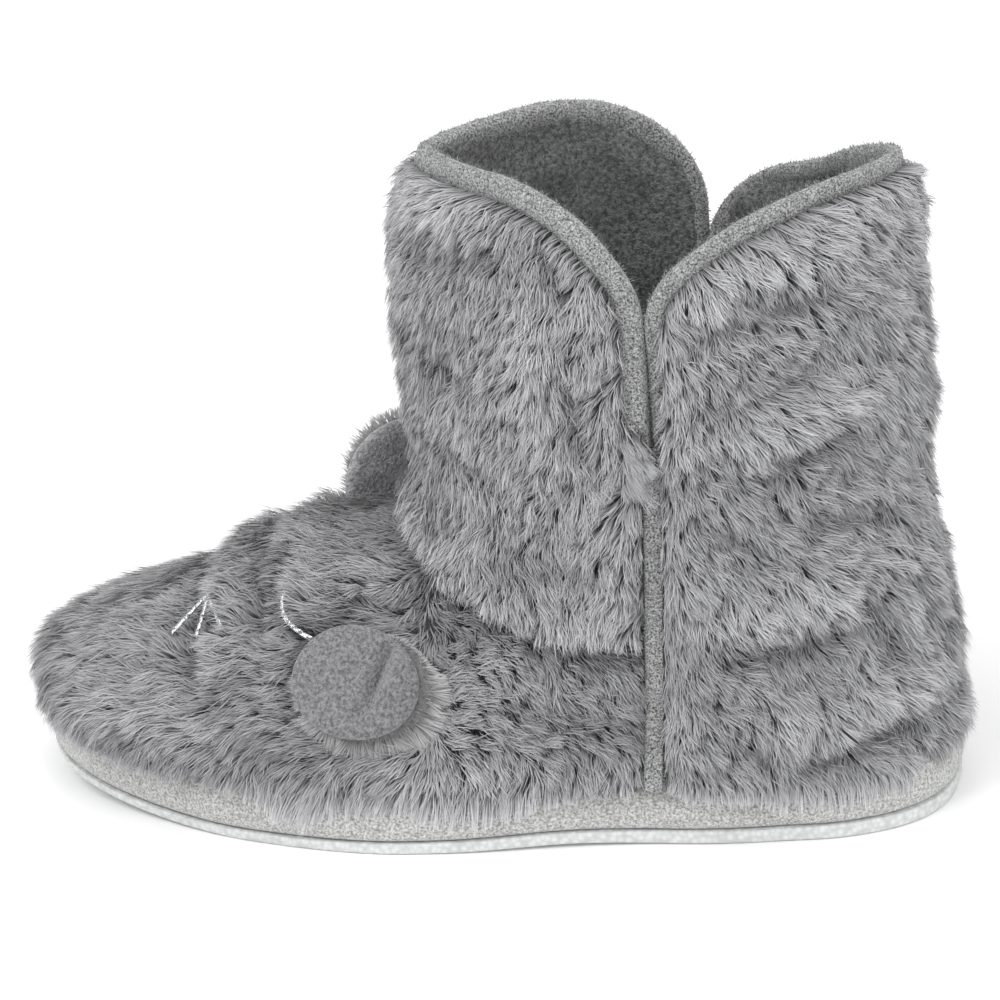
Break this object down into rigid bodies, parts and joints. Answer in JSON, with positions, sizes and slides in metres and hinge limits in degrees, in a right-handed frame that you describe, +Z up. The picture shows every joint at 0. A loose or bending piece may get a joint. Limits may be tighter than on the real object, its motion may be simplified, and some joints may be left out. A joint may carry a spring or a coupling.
{
  "type": "bootie slipper",
  "caption": "Left bootie slipper in deep faux fur on a low platform sole, with a split bound collar, fleece lining and two round ears.",
  "frame": {"origin": "centre of the shoe's bounding box, on the floor under its sole", "axes": "+Z up from the floor, -X to the toe and +X to the heel, -Y to the outer side of the left foot"},
  "size_m": [0.2696, 0.1132, 0.1862],
  "materials": {
    "outsole_foam": "matt, finely pebbled",
    "platform_cover": "napped microsuede",
    "footbed_fleece": "short fleece",
    "faux_fur": "deep soft pile",
    "front_binding": "napped microsuede",
    "back_binding": "napped microsuede",
    "near_tape": "napped microsuede",
    "far_tape": "napped microsuede",
    "near_ear_fur": "deep soft pile",
    "near_ear_fleece": "short curled fleece",
    "far_ear_fur": "deep soft pile",
    "far_ear_fleece": "short curled fleece"
  },
  "bodies": {
    "root": {"outsole": "outsole_foam", "midsole": "platform_cover", "insole": "footbed_fleece", "upper": "faux_fur", "binding_front": "front_binding", "binding_back": "back_binding", "side_tape_near": "near_tape", "side_tape_far": "far_tape", "ear_near_fur": "near_ear_fur", "ear_near_fleece": "near_ear_fleece", "ear_far_fur": "far_ear_fur", "ear_far_fleece": "far_ear_fleece"}
  },
  "joints": []
}
